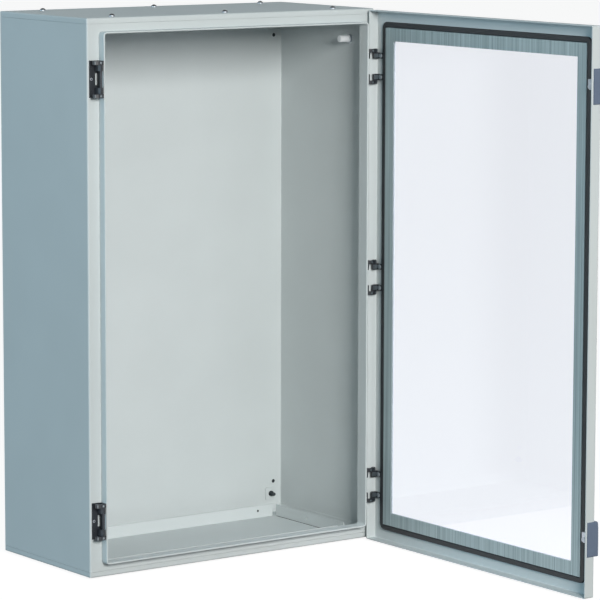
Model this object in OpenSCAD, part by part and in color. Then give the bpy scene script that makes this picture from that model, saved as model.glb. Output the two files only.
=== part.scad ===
// Steel wall enclosure with a glazed door.
// Frame: +X right, +Z up, front towards -Y. The origin is the centre of the rear face,
// which lies against the wall. The door stands open at door_angle.
// Hinges, strikes and locks are drawn in edge coordinates: u runs inwards from the
// cabinet's side, w runs forwards from the front flange, z is measured from their centre.

/* [Body] */
// Width of the body
body_w = 600; // [500:1:800]
// Height of the body
body_h = 950; // [700:1:1200]
// Depth of the body without the door
body_d = 280; // [200:1:400]
// Thickness of the body sheet
sheet_t = 1.5; // [1.2:0.1:2]
// Outside radius of the body's bends
bend_r = 3; // [2:0.1:4]
// Height of the rim of the top and bottom pans
pan_rim = 10; // [8:0.5:16]
// Width of the front flange, from the side to the sealing lip
flange_w = 23; // [22.5:0.1:27]

/* [Sealing lip] */
// Distance the lip stands forward of the flange
lip_depth = 16.3; // [12:0.1:16.4]
// Thickness of the folded lip
lip_t = 3; // [2:0.1:4]
// Distance the inner fold runs back behind the flange
lip_back = 8; // [4:0.5:14]
// Corner radius of the lip, outside
lip_r = 6.5; // [5:0.5:12]

/* [Door] */
// Angle the door stands open
door_angle = 90; // [0:1:120]
// Depth of the door from its rim to its front
door_depth = 20; // [19:0.1:24]
// Thickness of the door sheet
door_t = 1.5; // [1.2:0.1:2]
// Gap between the door's rim and the front flange
door_gap = 2; // [1.5:0.1:3]
// Amount the door is smaller than the body on each side
door_inset = 1; // [0.5:0.1:1.5]
// Distance from the door's edge to the window
window_margin = 53; // [50:1:90]

/* [Glazing] */
// Thickness of the pane
pane_t = 2.5; // [2:0.1:4]
// Thickness of the tape between pane and door
tape_t = 0.5; // [0.3:0.1:1]
// Thickness of the glazing rail's sheet
rail_t = 0.8; // [0.6:0.1:1.2]
// Width of the glazing rails
rail_w = 23; // [18:0.5:23.5]

/* [Door gasket] */
// Width of the gasket bead
gasket_w = 9.6; // [6:0.1:9.7]
// Distance from the door's edge to the middle of the bead
gasket_inset = 24.5; // [24.3:0.1:27]
// Outside corner radius of the bead
gasket_r = 12; // [9:0.5:18]

/* [Hinges and strikes] */
// Height of the outer hinges and strikes from the ends of the body
fitting_inset = 100; // [80:1:200]
// Length of a hinge base or strike base
base_len = 62; // [58:1:90]
// Distance of the hinge pin from the cabinet's side
pin_u = 6.5; // [6.5:0.1:7]
// Distance of the hinge pin forward of the flange
pin_w = 13; // [13:0.1:13.6]
// Radius of the hinge pin
pin_r = 2; // [1.5:0.1:2.2]
// Height of one knuckle
knuckle_h = 10.5; // [9:0.5:14]
// Height of one hinge arm
arm_h = 6.5; // [5:0.1:8]
// Widest angle that the door opens to
door_max = 120; // [95:1:120]
// Radius of the strike rod
rod_r = 2.25; // [1.8:0.05:2.4]

/* [Locks] */
// Distance of the lock spindle from the cabinet's side
lock_u = 9.4; // [9.4:0.1:9.8]
// Height of the lock housing
lock_h = 59; // [50:1:70]
// Thickness of the housing in front of the door
lock_proud = 7.5; // [6:0.1:9]
// Reach of the cam from the spindle
cam_reach = 11.9; // [10.5:0.1:12]
// Thickness of the cam
cam_t = 2.5; // [2:0.1:3]

/* [Cable entry plates] */
// Distance from the body's faces to the plate's edge
plate_margin = 22; // [20:0.5:30]
// Distance from the plate's long edges to its upright strips
plate_border = 16; // [15.5:0.1:24]
// Distance from the plate's short edges to its upright strips
side_border = 19; // [10:0.5:24]
// Height of the side and back strips, from the plate's outer face
plate_edge = 23.5; // [15:0.5:35]
// Height of the front strip, from the plate's outer face
plate_front = 17; // [10:0.5:20]
// Thickness of the foam seal under the plate
seal_t = 1; // [0.8:0.1:3]
// Distance from the body's sides to the outer bolts
bolt_inset = 69; // [60:1:150]
// Distance from the plate's edge to the bolt rows
bolt_edge = 8; // [7.5:0.1:8.5]

/* [Fixing] */
// Distance from the body's sides to the wall-fixing holes
wall_side = 18; // [14:0.5:60]
// Distance from the body's ends to the wall-fixing holes
wall_end = 60; // [56:0.5:150]
// Radius of a wall-fixing hole
wall_r = 3.5; // [3:0.1:6]
// Distance from the body's sides to the mounting studs
stud_side = 25; // [23:0.5:60]
// Distance from the body's ends to the mounting studs
stud_end = 37.5; // [36:0.5:100]
// Radius of a mounting stud
stud_r = 3; // [2.5:0.1:5]
// Length of a mounting stud in front of its pad
stud_len = 12; // [8:0.5:40]

/* [Hidden] */
$fn = 64;

// Clearances
move_gap = 0.4;   // between parts that pass each other
seat_gap = 0.1;   // between parts that are welded or bonded
run_gap = 0.05;   // radial, in a running fit
hole_gap = 0.3;   // radial, round a fastener

// Paint and plastic colours
paint = [0.78, 0.80, 0.79];
black = [0.12, 0.13, 0.14];
zinc = [0.72, 0.73, 0.75];
slate = [0.37, 0.43, 0.51];
rubber = [0.10, 0.12, 0.15];

// Door
door_w = body_w - 2 * door_inset;
door_h = body_h - 2 * door_inset;
face_w = door_gap + door_depth;             // door's front, forward of the flange
sheet_w = face_w - door_t;                  // inner face of the door's sheet
return_u = door_inset + door_t;             // inner face of the door's side return
gasket_h = sheet_w - lip_depth - 0.3;       // as it lies when the door is shut
rail_h = tape_t + pane_t + rail_t + 0.1;
pane_cover = 19;                            // how far the pane runs under the rails

// Hinge: the arm passes round the door's rim, which sweeps this radius
rim_sweep = norm([pin_u - door_inset, pin_w - door_gap]);
eye_r = pin_u - return_u - move_gap;
neck_in = pin_u + rim_sweep + 0.6;
neck_out = flange_w - move_gap;
arm_top = sheet_w - 2.1;
arm_under = pin_w - (pin_u - return_u) * sin(door_max) - (pin_w - door_gap) * cos(door_max) + move_gap;
arm_corner = door_inset + gasket_inset - gasket_w / 2 - 0.5;
foot_t = 3;
strike_t = 1.8;
foot_in = pin_u + sqrt(rim_sweep * rim_sweep - (pin_w - foot_t) * (pin_w - foot_t)) + 0.6;
arm_z = base_len / 2 - arm_h;
knuckle_z = arm_z - 0.3 - knuckle_h;
knuckle_u = pin_u + eye_r + 0.1;
foot_end = arm_corner - 0.1;
knuckle_foot = 2.4;
nut_r = 4.6;
nut_u = foot_end - nut_r - 0.2;

// Strike
rod_u = arm_corner - rod_r - 0.6;
rod_w = pin_w + 2.5;
rod_z = 14;
strike_screw_u = pin_u + 0.6;

// Heights of hinges and strikes on the door, which hangs a little below the body's middle
hang = 1.5;
top_z = body_h / 2 - fitting_inset;
hinge_zs = [top_z, 0, -top_z];
strike_zs = [top_z, -top_z];

// Lock
core_r = 8;
core_face = 27.6;
boss_r = 4.9;
ring_r = lock_u - return_u - 0.3;
spindle_r = 3;
cam_w = 6;
cam_half = 5.5;
cam_tip_w = rod_w - rod_r - 0.65;
lock_out = 2.5;
lock_half = lock_u - door_inset + lock_out;

// Cable entry plates
tray_w = body_w - 2 * plate_margin;
tray_d = body_d - 2 * plate_margin;
bolt_y = tray_d / 2 - bolt_edge;
cut_w = tray_w - 54;
cut_d = 2 * bolt_y - 34;
strip_x = tray_w / 2 - side_border;         // outer faces of the upright strips
strip_y = tray_d / 2 - plate_border;
bolt_r = 3;
end_z = body_h / 2;                         // outer face of the pans
bolt_x = body_w / 2 - bolt_inset;
bolt_xs = [-bolt_x, 0, bolt_x];

// Wall-fixing holes and interior studs
wall_x = body_w - 2 * wall_side;
wall_z = body_h - 2 * wall_end;
stud_x = body_w - 2 * stud_side;
stud_z = body_h - 2 * stud_end;
pad_side = 23;
pad_t = 2;
earth_y = -body_d + 70;
earth_z = body_h / 2 - 57;
earth_len = 24;

// ---- Shapes ----

module rounded(w, h, r) {
    square([w - 2 * r, h], center = true);
    square([w, h - 2 * r], center = true);
    for (x = [-1, 1], y = [-1, 1])
        translate([x * (w / 2 - r), y * (h / 2 - r)]) circle(r);
}

// Side view of a bent sheet: flat foot, round shoulders
module shoulders(w, h, r) {
    translate([-w / 2, 0]) square([w, h - r]);
    translate([-w / 2 + r, 0]) square([w - 2 * r, h]);
    for (x = [-1, 1]) translate([x * (w / 2 - r), h - r]) circle(r);
}

// Block w by h, d high, with a bend of radius r round its top edges and its corners
module bent_block(w, h, d, r) {
    intersection() {
        linear_extrude(d) rounded(w, h, r);
        rotate([90, 0, 0]) linear_extrude(h + 2, center = true) shoulders(w, d, r);
        rotate([90, 0, 90]) linear_extrude(w + 2, center = true) shoulders(h, d, r);
    }
}

// Children, a section with x outwards, are carried round a rectangle w by h of corner radius r
module round_frame(w, h, r) {
    for (k = [0 : 3]) {
        side = k % 2 == 0 ? h : w;
        reach = k % 2 == 0 ? w : h;
        rotate([0, 0, 90 * k]) {
            translate([reach / 2, side / 2 - r, 0])
                rotate([90, 0, 0]) linear_extrude(side - 2 * r) children();
            translate([reach / 2 - r, side / 2 - r, 0])
                rotate_extrude(angle = 90) translate([r, 0]) children();
        }
    }
}

// Stands a drawing made in X and Y upright, its height pointing to the front
module facing_front(y) {
    translate([0, y, 0]) rotate([90, 0, 0]) children();
}

// Places a fitting drawn in edge coordinates on the hinge side or on the lock side
module hinge_side(z) {
    translate([body_w / 2, -body_d, z]) rotate([0, 0, 180]) children();
}

module lock_side(z) {
    translate([-body_w / 2, -body_d, z]) mirror([0, 1, 0]) children();
}

// Lowers what is level with the door
module hung() {
    translate([0, 0, -hang]) children();
}

// Turns the shut door to the angle that it stands at
module on_door() {
    hung() translate([body_w / 2 - pin_u, -body_d - pin_w, 0]) rotate([0, 0, door_angle])
        translate([pin_u - body_w / 2, body_d + pin_w, 0]) children();
}

// Cylinder along w, from w0 to w1, in edge coordinates
module along_w(u, w0, w1, r, fn = 64) {
    translate([u, w0, 0]) rotate([-90, 0, 0]) cylinder(h = w1 - w0, r = r, $fn = fn);
}

// ---- Body ----

module body_shell() {
    tube_h = body_h - 2 * pan_rim;
    color(paint) difference() {
        translate([0, -body_d / 2, -tube_h / 2]) linear_extrude(tube_h) difference() {
            rounded(body_w, body_d, bend_r);
            rounded(body_w - 2 * sheet_t, body_d - 2 * sheet_t, bend_r - sheet_t);
        }
        facing_front(-body_d + 2 * sheet_t) linear_extrude(4 * sheet_t)
            rounded(body_w - 2 * flange_w, body_h - 2 * flange_w, lip_r);
        for (x = [-1, 1], z = [-1, 1])
            translate([x * wall_x / 2, 1, z * wall_z / 2])
                rotate([90, 0, 0]) cylinder(h = sheet_t + 2, r = wall_r);
    }
}

// Section of the folded lip: x outwards from its inner face, y forwards of the flange
module lip_section() {
    tip_r = lip_t / 2;
    square([lip_t, lip_depth - tip_r]);
    translate([tip_r, lip_depth - tip_r]) circle(tip_r);
    translate([0, -lip_back]) square([lip_t / 2, lip_back]);
}

module sealing_lip() {
    inner_r = lip_r - lip_t;
    color(paint) facing_front(-body_d)
        round_frame(body_w - 2 * flange_w - 2 * lip_t, body_h - 2 * flange_w - 2 * lip_t, inner_r)
            lip_section();
}

// Cap with a rim, a joggled skirt inside the body and holes for the entry plate's bolts.
// Drawn for the top, outer face at z = 0
module pan() {
    inner_w = body_w - 2 * sheet_t;
    inner_d = body_d - 2 * sheet_t;
    inner_r = bend_r - sheet_t;
    skirt_h = 8;
    seam = 0.4;
    difference() {
        translate([0, 0, -pan_rim + seam]) bent_block(body_w, body_d, pan_rim - seam, bend_r);
        translate([0, 0, -pan_rim - sheet_t]) bent_block(inner_w, inner_d, pan_rim, inner_r);
        for (x = bolt_xs, y = [-bolt_y, bolt_y])
            translate([x, y, -2 * sheet_t]) cylinder(h = 4 * sheet_t, r = bolt_r + hole_gap);
    }
    // the skirt fits inside the shell; above the shell's edge it is part of the rim
    translate([0, 0, -pan_rim - skirt_h]) linear_extrude(skirt_h + seam) difference() {
        rounded(inner_w - 2 * seat_gap, inner_d - 2 * seat_gap, inner_r);
        rounded(inner_w - 2 * sheet_t, inner_d - 2 * sheet_t, 0.5);
    }
    translate([0, 0, seam - pan_rim]) linear_extrude(sheet_t) difference() {
        rounded(inner_w + sheet_t, inner_d + sheet_t, bend_r - sheet_t / 2);
        rounded(inner_w - 2 * sheet_t, inner_d - 2 * sheet_t, 0.5);
    }
}

module at_top() {
    translate([0, -body_d / 2, end_z]) children();
}

module at_bottom() {
    mirror([0, 0, 1]) at_top() children();
}

module top_pan() {
    color(paint) at_top() pan();
}

// The bottom has the cable cut-out, which the entry plate closes
module bottom_pan() {
    color(paint) at_bottom() difference() {
        pan();
        translate([0, 0, -2 * sheet_t]) linear_extrude(4 * sheet_t) rounded(cut_w, cut_d, 8);
    }
}

// Foam ring between the pan and the entry plate
module entry_seal() {
    translate([0, 0, -sheet_t - seal_t]) linear_extrude(seal_t) difference() {
        rounded(tray_w - 3, tray_d - 3, 6);
        rounded(cut_w + 4, cut_d + 4, 6);
        for (x = bolt_xs, y = [-bolt_y, bolt_y]) translate([x, y]) circle(bolt_r + hole_gap);
    }
}

// Sheet with an upright strip along each edge. The strips stop short of the corners
module entry_plate() {
    base_z = -sheet_t - seal_t;
    corner = 6;
    back_len = 2 * (strip_x - corner);
    side_front = 1 - tray_d / 2;
    side_back = strip_y - corner;
    slope = plate_edge - 7;
    hole_r = 2.2;
    translate([0, 0, base_z - sheet_t]) linear_extrude(sheet_t) difference() {
        rounded(tray_w, tray_d, 4);
        for (x = bolt_xs, y = [-bolt_y, bolt_y]) translate([x, y]) circle(bolt_r + hole_gap);
    }
    translate([0, strip_y, base_z - plate_edge]) rotate([90, 0, 0]) linear_extrude(sheet_t) difference() {
        translate([-back_len / 2, 0]) square([back_len, plate_edge - sheet_t / 2]);
        for (x = [-1, 1]) translate([x * (back_len / 2 - 33), plate_edge - 14]) circle(hole_r);
    }
    translate([0, sheet_t - strip_y, base_z - plate_front]) rotate([90, 0, 0]) linear_extrude(sheet_t)
        translate([-back_len / 2, 0]) square([back_len, plate_front - sheet_t / 2]);
    for (x = [-1, 1])
        translate([x * (strip_x - sheet_t / 2), 0, base_z - plate_edge])
            rotate([90, 0, 90]) linear_extrude(sheet_t, center = true) difference() {
                polygon([
                    [side_front, plate_edge - sheet_t / 2],
                    [side_back, plate_edge - sheet_t / 2], [side_back, 0],
                    [side_front + slope / 3, 0], [side_front, slope]
                ]);
                translate([0, plate_edge - 12]) circle(hole_r);
                translate([side_front + 20, plate_edge - 9]) square([12, 3], center = true);
            }
}

// Bolt with a low dome on a round collar, shank down to the nut
module plate_bolt() {
    shank = 2 * sheet_t + seal_t + 6.5;
    head_r = 5.25;
    collar_h = 1.4;
    dome_h = 3.1;
    dome_r = (head_r * head_r + dome_h * dome_h) / (2 * dome_h);
    rotate_extrude() intersection() {
        union() {
            square([head_r, collar_h]);
            translate([0, collar_h + dome_h - dome_r]) circle(dome_r);
        }
        square([head_r, collar_h + dome_h]);
    }
    translate([0, 0, -shank]) cylinder(h = shank, r = bolt_r);
}

module plate_nut() {
    translate([0, 0, -2 * sheet_t - seal_t - 1.2]) difference() {
        cylinder(h = 1.2, r = 6);
        translate([0, 0, -1]) cylinder(h = 4, r = bolt_r);
    }
    translate([0, 0, -2 * sheet_t - seal_t - 6.2]) difference() {
        cylinder(h = 5, r = 5.77, $fn = 6);
        translate([0, 0, -1]) cylinder(h = 7, r = bolt_r);
    }
}

module at_bolts() {
    for (x = bolt_xs, y = [-bolt_y, bolt_y]) translate([x, y, 0]) children();
}

module top_entry_plate() {
    color(paint) at_top() entry_plate();
}

module top_entry_seal() {
    color(rubber) at_top() entry_seal();
}

module top_plate_bolts() {
    color(black) at_top() at_bolts() plate_bolt();
}

module top_plate_nuts() {
    color(zinc) at_top() at_bolts() plate_nut();
}

module bottom_entry_plate() {
    color(paint) at_bottom() entry_plate();
}

module bottom_entry_seal() {
    color(rubber) at_bottom() entry_seal();
}

module bottom_plate_bolts() {
    color(black) at_bottom() at_bolts() plate_bolt();
}

module bottom_plate_nuts() {
    color(zinc) at_bottom() at_bolts() plate_nut();
}

// ---- Studs inside the body ----

module at_studs() {
    for (x = [-1, 1], z = [-1, 1])
        translate([x * stud_x / 2, -sheet_t, z * stud_z / 2]) rotate([90, 0, 0]) children();
}

module mounting_stud_pads() {
    color(paint) at_studs() linear_extrude(pad_t) rounded(pad_side, pad_side, 3);
}

module mounting_studs() {
    color(zinc) at_studs() translate([0, 0, pad_t]) {
        cylinder(h = 2.5, r = stud_r + 2);
        cylinder(h = stud_len - 1, r = stud_r);
        translate([0, 0, stud_len - 1]) cylinder(h = 1, r1 = stud_r, r2 = stud_r - 1);
    }
}

module at_earth_stud() {
    translate([body_w / 2 - sheet_t, earth_y, earth_z]) rotate([0, -90, 0]) children();
}

module earth_stud() {
    color(zinc) at_earth_stud() {
        cylinder(h = 3, r = 8);
        cylinder(h = earth_len - 5, r = 4);
    }
}

module earth_stud_cap() {
    color([0.93, 0.94, 0.95]) at_earth_stud() translate([0, 0, 3 + seat_gap]) difference() {
        union() {
            cylinder(h = 2, r = 7.2);
            cylinder(h = earth_len - 5, r = 6.2);
            translate([0, 0, earth_len - 5]) cylinder(h = 1.2, r1 = 6.2, r2 = 5);
        }
        translate([0, 0, -1]) cylinder(h = earth_len - 6, r = 4 + run_gap);
    }
}

// ---- Hinges and strikes ----

// Goose-neck arm, seen from above: from the lip's foot round the door's rim to the pin
module arm_outline() {
    difference() {
        union() {
            translate([pin_u, pin_w]) circle(eye_r);
            polygon([
                [pin_u, pin_w + eye_r], [pin_u + 4, arm_top],
                [arm_corner - 2.2, arm_top], [arm_corner, arm_top - 2.2],
                [arm_corner, lip_depth - 0.3], [neck_out, lip_depth - 1.1],
                [neck_out, 0], [neck_in, 0],
                [neck_in, arm_under - 1.3], [neck_in - 0.9, arm_under],
                [pin_u + eye_r * 0.8, arm_under], [pin_u + eye_r, pin_w]
            ]);
        }
        translate([pin_u, pin_w]) circle(pin_r);
    }
}

module arms() {
    for (s = [-1, 1]) translate([0, 0, s * (arm_z + arm_h / 2)])
        linear_extrude(arm_h, center = true) arm_outline();
}

module pins() {
    for (s = [-1, 1]) translate([pin_u, pin_w, s * (arm_z + arm_h + knuckle_z) / 2])
        cylinder(h = arm_z + arm_h - knuckle_z - 0.6, r = pin_r, center = true);
}

module hinge_base() {
    leg_u = (foot_in + neck_in) / 2;
    difference() {
        translate([foot_in, 0, -base_len / 2]) cube([neck_out - foot_in, foot_t, base_len]);
        for (s = [-1, 1]) translate([0, 0, s * 9]) along_w(leg_u, -1, foot_t + 1, 1.6);
        for (s = [-1, 1]) translate([leg_u, foot_t - 1.2, s * 9])
            rotate([-90, 0, 0]) cylinder(h = 1.2, r1 = 1.6, r2 = 2.8);
    }
    for (s = [0, 1]) mirror([0, 0, s]) translate([neck_in, foot_t, knuckle_z])
        cube([neck_out - neck_in, lip_depth - 2 - foot_t, base_len / 2 - knuckle_z]);
    arms();
}

module hinge_base_screw() {
    leg_u = (foot_in + neck_in) / 2;
    translate([leg_u, foot_t - 1.2, 0]) rotate([-90, 0, 0]) cylinder(h = 1.2, r1 = 1.6, r2 = 2.8);
    along_w(leg_u, 0, foot_t - 1.2, 1.6);
}

module hinge_base_upper() {
    color(black) hung() hinge_side(hinge_zs[0]) hinge_base();
}

module hinge_base_middle() {
    color(black) hung() hinge_side(hinge_zs[1]) hinge_base();
}

module hinge_base_lower() {
    color(black) hung() hinge_side(hinge_zs[2]) hinge_base();
}

module hinge_base_screws() {
    color(zinc) hung() for (z = hinge_zs, s = [-1, 1]) hinge_side(z + s * 9) hinge_base_screw();
}

module hinge_pins() {
    color(zinc) hung() for (z = hinge_zs) hinge_side(z) pins();
}

// Strike: the same arms on a slotted plate, with a low rib and blocks that hold the rod
module strike_base() {
    plate_in = return_u + 1;
    rib_u = rod_u + 1.9;
    slot_w = 4.5;
    difference() {
        translate([plate_in, 0, -base_len / 2]) cube([neck_out - plate_in, strike_t, base_len]);
        translate([rib_u - slot_w, -1, -10]) cube([slot_w, strike_t + 2, 20]);
        along_w(strike_screw_u, -1, strike_t + 1, 1.6);
        translate([strike_screw_u, strike_t - 1.2, 0])
            rotate([-90, 0, 0]) cylinder(h = 1.2, r1 = 1.6, r2 = 2.5);
    }
    translate([rib_u, strike_t, -base_len / 2]) cube([neck_out - rib_u, 2, base_len]);
    for (s = [-1, 1]) translate([0, 0, s * (rod_z + arm_z) / 2]) difference() {
        translate([pin_u + 6.5, 0, 0]) linear_extrude(arm_z - rod_z, center = true)
            polygon([
                [0, strike_t], [0, rod_w - 2], [2, arm_top], [arm_corner - pin_u - 8.2, arm_top],
                [arm_corner - pin_u - 6.5, arm_top - 1.7], [arm_corner - pin_u - 6.5, strike_t]
            ]);
        translate([rod_u, rod_w, 0]) cylinder(h = 2 * arm_z, r = rod_r, center = true);
    }
    for (z = [-19.5, 19.5]) translate([strike_screw_u, strike_t, z]) rotate([-90, 0, 0])
        cylinder(h = 1.2, r = 2);
    arms();
}

module strike_base_upper() {
    color(black) hung() lock_side(strike_zs[0]) strike_base();
}

module strike_base_lower() {
    color(black) hung() lock_side(strike_zs[1]) strike_base();
}

module strike_pins() {
    color(zinc) hung() for (z = strike_zs, s = [-1, 1]) lock_side(z + s * (arm_z + arm_h / 2))
        translate([pin_u, pin_w, 0]) cylinder(h = arm_h - 0.6, r = pin_r, center = true);
}

module strike_rods() {
    color(zinc) hung() for (z = strike_zs) lock_side(z) translate([rod_u, rod_w, 0])
        cylinder(h = 2 * arm_z - 1, r = rod_r, center = true);
}

module strike_screws() {
    color(zinc) hung() for (z = strike_zs) lock_side(z) {
        translate([strike_screw_u, strike_t - 1.2, 0])
            rotate([-90, 0, 0]) cylinder(h = 1.2, r1 = 1.6, r2 = 2.5);
        along_w(strike_screw_u, 0, strike_t - 1.2, 1.6);
    }
}

// Knuckle on the door, seen from above: an eye, a block in the door's corner and a foot
module knuckle_outline() {
    block_w = pin_w - 6;
    difference() {
        union() {
            translate([pin_u, pin_w]) circle(eye_r);
            polygon([
                [return_u, pin_w], [pin_u, block_w], [knuckle_u - 1.5, block_w], [knuckle_u, block_w + 1.5],
                [knuckle_u, sheet_w - knuckle_foot], [foot_end, sheet_w - knuckle_foot], [foot_end, sheet_w],
                [return_u + 2, sheet_w], [return_u, sheet_w - 2]
            ]);
        }
        translate([pin_u, pin_w]) circle(pin_r + run_gap);
    }
}

module knuckles() {
    for (s = [-1, 1]) translate([0, 0, s * (knuckle_z + knuckle_h / 2)]) difference() {
        linear_extrude(knuckle_h, center = true) knuckle_outline();
        along_w(nut_u, sheet_w - knuckle_foot - 1, sheet_w + 1, 2 + hole_gap);
    }
}

module hinge_knuckles_upper() {
    color(black) on_door() hinge_side(hinge_zs[0]) knuckles();
}

module hinge_knuckles_middle() {
    color(black) on_door() hinge_side(hinge_zs[1]) knuckles();
}

module hinge_knuckles_lower() {
    color(black) on_door() hinge_side(hinge_zs[2]) knuckles();
}

// Welded stud with its domed nut, one in each knuckle's foot
module knuckle_nuts() {
    nut_z = knuckle_z + knuckle_h / 2;
    color(zinc) on_door() for (z = hinge_zs, s = [-1, 1]) hinge_side(z + s * nut_z) {
        along_w(nut_u, sheet_w - knuckle_foot - 0.9, sheet_w - knuckle_foot, nut_r);
        translate([nut_u, sheet_w - knuckle_foot - 0.9, 0])
            rotate([90, 0, 0]) cylinder(h = 1.1, r1 = nut_r, r2 = nut_r - 1.4);
        along_w(nut_u, sheet_w - knuckle_foot, sheet_w, 2);
    }
}

// ---- Door ----

module door_panel() {
    inside_w = door_w - 2 * door_t;
    inside_h = door_h - 2 * door_t;
    color(paint) on_door() difference() {
        facing_front(-body_d - door_gap) difference() {
            bent_block(door_w, door_h, door_depth, bend_r);
            translate([0, 0, -door_t]) bent_block(inside_w, inside_h, door_depth, bend_r - door_t);
            linear_extrude(2 * door_depth)
                square([door_w - 2 * window_margin, door_h - 2 * window_margin], center = true);
        }
        for (z = strike_zs) lock_side(z) along_w(lock_u, sheet_w - 1, face_w + 1, boss_r + 0.2);
    }
}

// Bead with a round crown; y is measured from the door's sheet towards the body
module gasket_section() {
    crown = gasket_h * 0.48;
    edge = gasket_w / 2;
    translate([-edge, 0]) square([gasket_w, gasket_h - crown]);
    translate([crown - edge, 0]) square([gasket_w - 2 * crown, gasket_h]);
    for (s = [-1, 1]) translate([s * (edge - crown), gasket_h - crown]) circle(crown);
}

module door_gasket() {
    color(rubber) on_door() facing_front(-body_d - sheet_w) mirror([0, 0, 1])
        round_frame(door_w - 2 * gasket_inset, door_h - 2 * gasket_inset, gasket_r - gasket_w / 2)
            gasket_section();
}

module window_pane() {
    edge = window_margin - pane_cover;
    color([0.9, 0.93, 0.97, 0.35]) on_door() facing_front(-body_d - sheet_w + tape_t + pane_t)
        linear_extrude(pane_t) square([door_w - 2 * edge, door_h - 2 * edge], center = true);
}

module window_tape() {
    edge = window_margin - pane_cover + 1;
    color(rubber) on_door() facing_front(-body_d - sheet_w + tape_t) linear_extrude(tape_t) difference() {
        square([door_w - 2 * edge, door_h - 2 * edge], center = true);
        square([door_w - 2 * window_margin + 4, door_h - 2 * window_margin + 4], center = true);
    }
}

// One mitred rail, drawn along X with its outer edge on y = 0; height is towards the body
module rail(length) {
    intersection() {
        rotate([90, 0, 90]) linear_extrude(length, center = true) {
            translate([-rail_w, rail_h - rail_t]) square([rail_w, rail_t]);
            translate([-rail_t, 0]) square([rail_t, rail_h]);
        }
        linear_extrude(rail_h) polygon([
            [-length / 2, 0], [length / 2, 0], [length / 2 - rail_w, -rail_w], [rail_w - length / 2, -rail_w]
        ]);
    }
}

module rail_on_door(angle, length, reach) {
    color([0.60, 0.65, 0.62]) on_door() facing_front(-body_d - sheet_w) mirror([0, 0, 1])
        rotate([0, 0, angle]) translate([0, reach / 2, 0]) rail(length - seat_gap);
}

rail_edge = window_margin - rail_w;
rails_x = door_w - 2 * rail_edge;
rails_z = door_h - 2 * rail_edge;

module glazing_rail_top() {
    rail_on_door(0, rails_x, rails_z);
}

module glazing_rail_bottom() {
    rail_on_door(180, rails_x, rails_z);
}

module glazing_rail_lock_side() {
    rail_on_door(90, rails_z, rails_x);
}

module glazing_rail_hinge_side() {
    rail_on_door(-90, rails_z, rails_x);
}

// ---- Locks ----

// Housing: wraps the door's edge, with a raised lower half and a bore for the core
module lock_housing() {
    front = face_w + lock_proud;
    back = door_gap + 3.5;
    out = door_inset - lock_out;
    difference() {
        union() {
            intersection() {
                linear_extrude(lock_h, center = true) difference() {
                    translate([out, back]) union() {
                        square([2 * lock_half, front - back + 4]);
                    }
                    translate([door_inset, back - 1]) square([3 * lock_half, face_w - back + 1]);
                    translate([out, front + 1]) rotate(45) square(4, center = true);
                }
                translate([out - 1, 0, 0]) rotate([90, 0, 90]) linear_extrude(2 * lock_half + 2)
                    polygon([
                        [back, -lock_h / 2], [front, -lock_h / 2], [front + 1, -3.5],
                        [front - 0.1, -2], [front - 2.8, lock_h / 2], [back, lock_h / 2]
                    ]);
                translate([lock_u, 0, 0]) rotate([-90, 0, 0]) linear_extrude(front + 5)
                    rounded(2 * lock_half, lock_h, 3);
            }
            along_w(lock_u, sheet_w - 4, face_w + 1, boss_r);
        }
        along_w(lock_u, face_w + 2, front + 5, core_r + 0.2);
        along_w(lock_u, sheet_w - 5, front, spindle_r + run_gap);
    }
}

module lock_ring_nut() {
    difference() {
        union() {
            along_w(lock_u, sheet_w - 3, sheet_w - 1.3, ring_r);
            translate([lock_u, sheet_w - 1.3, 0]) rotate([-90, 0, 0])
                cylinder(h = 1.3, r1 = ring_r, r2 = ring_r - 1.3);
        }
        along_w(lock_u, sheet_w - 4, sheet_w + 1, boss_r);
        for (s = [-1, 1]) translate([lock_u, sheet_w - 2, s * (ring_r + 0.8)])
            cube([20, 5, 3], center = true);
    }
}

// Key core with a double-bit socket, its spindle and the square end that drives the cam
module lock_core() {
    difference() {
        union() {
            along_w(lock_u, face_w + 2 + seat_gap, core_face, core_r);
            along_w(lock_u, cam_w + cam_t, face_w + 3, spindle_r);
        }
        difference() {
            union() {
                along_w(lock_u, core_face - 2.6, core_face + 1, 4.2);
                translate([lock_u, core_face, 0]) cube([2.4, 5.2, 12.4], center = true);
            }
            along_w(lock_u, core_face - 4, core_face + 2, 1.5);
        }
    }
    translate([lock_u - 2, cam_w, -2]) cube([4, cam_t + 0.5, 4]);
}

// Cam with its tip bent forwards, standing up when unlocked
module lock_cam() {
    difference() {
        translate([lock_u, cam_w, 0]) {
            rotate([-90, 0, 0]) cylinder(h = cam_t, r = cam_half);
            translate([-cam_half, 0, 0]) cube([2 * cam_half, cam_t, cam_reach]);
            translate([-cam_half, 0, cam_reach - 2.3]) cube([2 * cam_half, cam_tip_w - cam_w, 2.3]);
        }
        translate([lock_u - 2.05, cam_w - 1, -2.05]) cube([4.1, cam_t + 2, 4.1]);
    }
}

module lock_cam_screw() {
    difference() {
        along_w(lock_u, cam_w - 2.2, cam_w, 3.9);
        translate([lock_u, cam_w - 2.2, 0]) cube([5.6, 1.6, 0.9], center = true);
        translate([lock_u, cam_w - 2.2, 0]) cube([0.9, 1.6, 5.6], center = true);
    }
}

module lock_housing_upper() {
    color(slate) on_door() lock_side(strike_zs[0]) lock_housing();
}

module lock_housing_lower() {
    color(slate) on_door() lock_side(strike_zs[1]) lock_housing();
}

module lock_ring_nuts() {
    color(zinc) on_door() for (z = strike_zs) lock_side(z) lock_ring_nut();
}

module lock_core_upper() {
    color(zinc) on_door() lock_side(strike_zs[0]) lock_core();
}

module lock_core_lower() {
    color(zinc) on_door() lock_side(strike_zs[1]) lock_core();
}

module lock_cam_upper() {
    color(zinc) on_door() lock_side(strike_zs[0]) lock_cam();
}

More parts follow.
